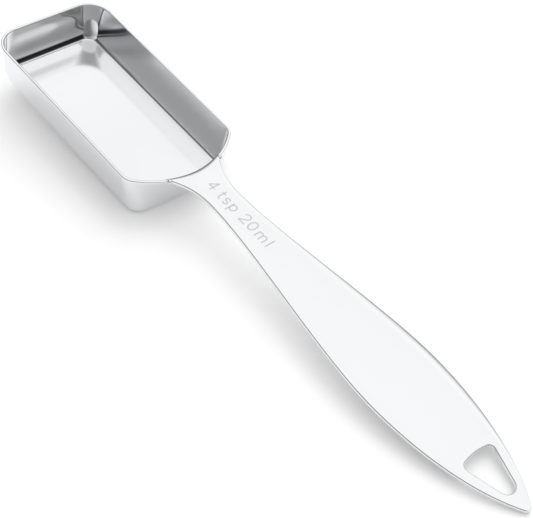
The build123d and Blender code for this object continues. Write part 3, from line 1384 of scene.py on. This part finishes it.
@dataclass(frozen=True)
class Table:
    """The plain pale table: a wide flat disc that keeps the spoon's shadow.

    Its glow fades where something stands close above it, as painted contact shade that keeps
    contact shadows deep, and polished steel mirrors a little less of it than the eye sees.
    """

    radius: float = 1.2
    colour: tuple[float, float, float, float] = (0.63, 0.63, 0.635, 1.0)
    glow: float = 0.45
    contact_shade_reach: float = 0.008
    contact_shade_share: float = 0.6
    glow_in_polish: float = 0.85

    def material(self) -> bpy.types.Material:
        """White paper: its colour, and a white glow only eye and polish see, in painted shade near
        the spoon.
        """
        material, tree, output = new_material("table_paper")
        nodes, links = tree.nodes, tree.links
        paper = nodes.new("ShaderNodeBsdfDiffuse")
        paper.inputs["Color"].default_value = self.colour
        light = nodes.new("ShaderNodeEmission")
        # Painted contact shade: ambient occlusion dims the glow where the spoon stands close above
        # the table.
        contact_shade = nodes.new("ShaderNodeAmbientOcclusion")
        contact_shade.inputs["Distance"].default_value = self.contact_shade_reach
        contact_shade.samples = 8
        fading, steady = self.glow * self.contact_shade_share, self.glow * (1.0 - self.contact_shade_share)
        level = sum_of(tree, "MULTIPLY_ADD", contact_shade.outputs["AO"], fading, steady)
        links.new(level, light.inputs["Strength"])
        path = nodes.new("ShaderNodeLightPath").outputs
        polish, eye = path["Is Glossy Ray"], path["Is Camera Ray"]
        seen = sum_of(tree, "MULTIPLY_ADD", polish, self.glow_in_polish, eye)
        dark = nodes.new("ShaderNodeEmission")
        dark.inputs["Strength"].default_value = 0.0
        pick = nodes.new("ShaderNodeMixShader")
        links.new(seen, pick.inputs["Fac"])
        links.new(dark.outputs[0], pick.inputs[1])
        links.new(light.outputs[0], pick.inputs[2])
        both = nodes.new("ShaderNodeAddShader")
        links.new(paper.outputs[0], both.inputs[0])
        links.new(pick.outputs[0], both.inputs[1])
        links.new(both.outputs[0], output.inputs["Surface"])
        return material

    def build(self) -> bpy.types.Object:
        """The disc in the scene, as stage.

        Returns:
            The table.
        """
        angle = np.linspace(0.0, 2 * math.pi, 97)[:-1]
        rim = np.stack([np.cos(angle), np.sin(angle), np.zeros_like(angle)], 1) * self.radius
        mesh = bpy.data.meshes.new("table")
        mesh.from_pydata(rim.tolist(), [], [list(range(len(rim)))])
        mesh.materials.append(self.material())
        table = bpy.data.objects.new("table", mesh)
        bpy.context.scene.collection.objects.link(table)
        return table


@dataclass(frozen=True)
class Studio:
    """Soft light: a pale dome, brightest over the +Y side and dark at its foot, and a soft lamp.

    The dome's level is a ramp over how nearly a direction points at the bright side, times a
    ramp over the direction's height. Each ramp is a list of stops: where, and how bright.
    """

    bright_side: tuple[float, float, float] = (-0.1, 0.35, 0.93)
    side_stops: tuple[tuple[float, float], ...] = (
        (-1.0, 0.1),
        (-0.1, 0.12),
        (0.1, 0.3),
        (0.31, 0.36),
        (0.42, 0.4),
        (0.5, 0.48),
        (0.56, 0.6),
        (0.62, 0.72),
        (0.69, 0.8),
        (0.755, 0.95),
        (0.8, 1.03),
        (0.89, 1.01),
        (0.92, 0.97),
        (0.97, 1.0),
        (1.0, 1.0),
    )
    height_stops: tuple[tuple[float, float], ...] = (
        (0.0, 0.2),
        (0.12, 0.3),
        (0.25, 0.7),
        (0.38, 1.0),
    )
    lamp_from: tuple[float, float, float] = (-0.45, 0.75, 1.0)
    lamp_spread_deg: float = 50.0
    lamp_level: float = 0.27

    def ramp(
        self, tree: bpy.types.NodeTree, value: bpy.types.NodeSocket, stops: tuple, low: float
    ) -> bpy.types.NodeSocket:
        """A ramp from low to 1 over a value.

        Args:
            tree: the node tree.
            value: the value that it follows.
            stops: where, and how bright.
            low: the lowest value.

        Returns:
            The ramp's level.
        """
        scale = tree.nodes.new("ShaderNodeMapRange")
        scale.inputs["From Min"].default_value = low
        scale.inputs["From Max"].default_value = 1.0
        tree.links.new(value, scale.inputs["Value"])
        ramp = tree.nodes.new("ShaderNodeValToRGB")
        tree.links.new(scale.outputs["Result"], ramp.inputs["Fac"])
        put = ramp.color_ramp.elements
        for index, (where, level) in enumerate(stops):
            place = (where - low) / (1.0 - low)
            stop = put[index] if index < 2 else put.new(place)
            stop.position = place
            stop.color = (level, level, level, 1.0)
        return ramp.outputs["Color"]

    def dome(self) -> bpy.types.World:
        """The world, which is plain white to the eye.

        Returns:
            The world.
        """
        world = bpy.data.worlds.new("soft_dome")
        world.use_nodes = True
        tree = world.node_tree
        tree.nodes.clear()
        nodes, links = tree.nodes, tree.links
        direction = nodes.new("ShaderNodeTexCoord")
        parts = nodes.new("ShaderNodeSeparateXYZ")
        links.new(direction.outputs["Generated"], parts.inputs[0])
        toward = nodes.new("ShaderNodeVectorMath")
        toward.operation = "DOT_PRODUCT"
        links.new(direction.outputs["Generated"], toward.inputs[0])
        toward.inputs[1].default_value = Vector(self.bright_side).normalized()
        level = nodes.new("ShaderNodeMix")
        level.data_type = "RGBA"
        level.blend_type = "MULTIPLY"
        level.inputs["Factor"].default_value = 1.0
        side = self.ramp(tree, toward.outputs["Value"], self.side_stops, -1.0)
        height = self.ramp(tree, parts.outputs["Z"], self.height_stops, 0.0)
        links.new(side, level.inputs["A"])
        links.new(height, level.inputs["B"])
        sky = nodes.new("ShaderNodeBackground")
        links.new(level.outputs["Result"], sky.inputs["Color"])
        white = nodes.new("ShaderNodeBackground")
        white.inputs["Color"].default_value = (1.0, 1.0, 1.0, 1.0)
        path = nodes.new("ShaderNodeLightPath")
        pick = nodes.new("ShaderNodeMixShader")
        links.new(path.outputs["Is Camera Ray"], pick.inputs["Fac"])
        links.new(sky.outputs[0], pick.inputs[1])
        links.new(white.outputs[0], pick.inputs[2])
        output = nodes.new("ShaderNodeOutputWorld")
        links.new(pick.outputs[0], output.inputs["Surface"])
        bpy.context.scene.world = world
        return world

    def lamp(self) -> bpy.types.Object:
        """The wide soft lamp above the +Y side, whose level is what it gives a level white card.

        Returns:
            The lamp.
        """
        aim = Vector(self.lamp_from).normalized()
        light = bpy.data.lights.new("soft_lamp", "SUN")
        light.angle = math.radians(self.lamp_spread_deg)
        light.energy = self.lamp_level * math.pi / aim.z
        lamp = bpy.data.objects.new("soft_lamp", light)
        lamp.rotation_mode = "QUATERNION"
        lamp.rotation_quaternion = (-aim).to_track_quat("-Z", "Y")
        lamp.visible_glossy = False
        bpy.context.scene.collection.objects.link(lamp)
        return lamp


@dataclass(frozen=True)
class Viewpoint:
    """The camera of the reference view, in the spoon's own frame."""

    place: tuple[float, float, float] = (138.65, -146.92, 210.53)
    looking: tuple[float, float, float] = (-0.38908, 0.51911, -0.76101)
    upward: tuple[float, float, float] = (-0.66107, 0.41799, 0.62311)
    focal_pixels: float = 1193.3
    image_width: float = 533.0

    def build(self) -> bpy.types.Object:
        """The camera in the scene.

        Returns:
            The camera object.
        """
        data = bpy.data.cameras.new("view")
        data.sensor_width = 36.0
        data.lens = self.focal_pixels / self.image_width * data.sensor_width
        data.clip_start, data.clip_end = 0.01, 10.0
        camera = bpy.data.objects.new("view", data)
        ahead = REST.direction(self.looking).normalized()
        up = REST.direction(self.upward)
        up = (up - ahead * up.dot(ahead)).normalized()
        right = ahead.cross(up)
        turn = Matrix((right, up, -ahead)).transposed()
        camera.rotation_mode = "QUATERNION"
        camera.rotation_quaternion = turn.to_quaternion()
        camera.location = REST.place(np.array([self.place]))[0].tolist()
        bpy.context.scene.collection.objects.link(camera)
        bpy.context.scene.camera = camera
        return camera


def report(piece: bpy.types.Object) -> None:
    """Logs a piece and its faces."""
    LOG.info("%s: %d faces", piece.name, len(piece.data.polygons))


def main() -> None:
    """Builds the spoon piece by piece, then the table, the light and the camera."""
    logging.basicConfig(level=logging.INFO, format="%(name)s: %(message)s")
    Viewpoint().build()
    report(Bowl().build())
    report(Handle().build(CapacityMark()))
    for piece in Welds().build():
        report(piece)
    Table().build()
    studio = Studio()
    studio.dome()
    studio.lamp()
    scene = bpy.context.scene
    scene.view_settings.view_transform = "Standard"


if __name__ == "__main__":
    main()
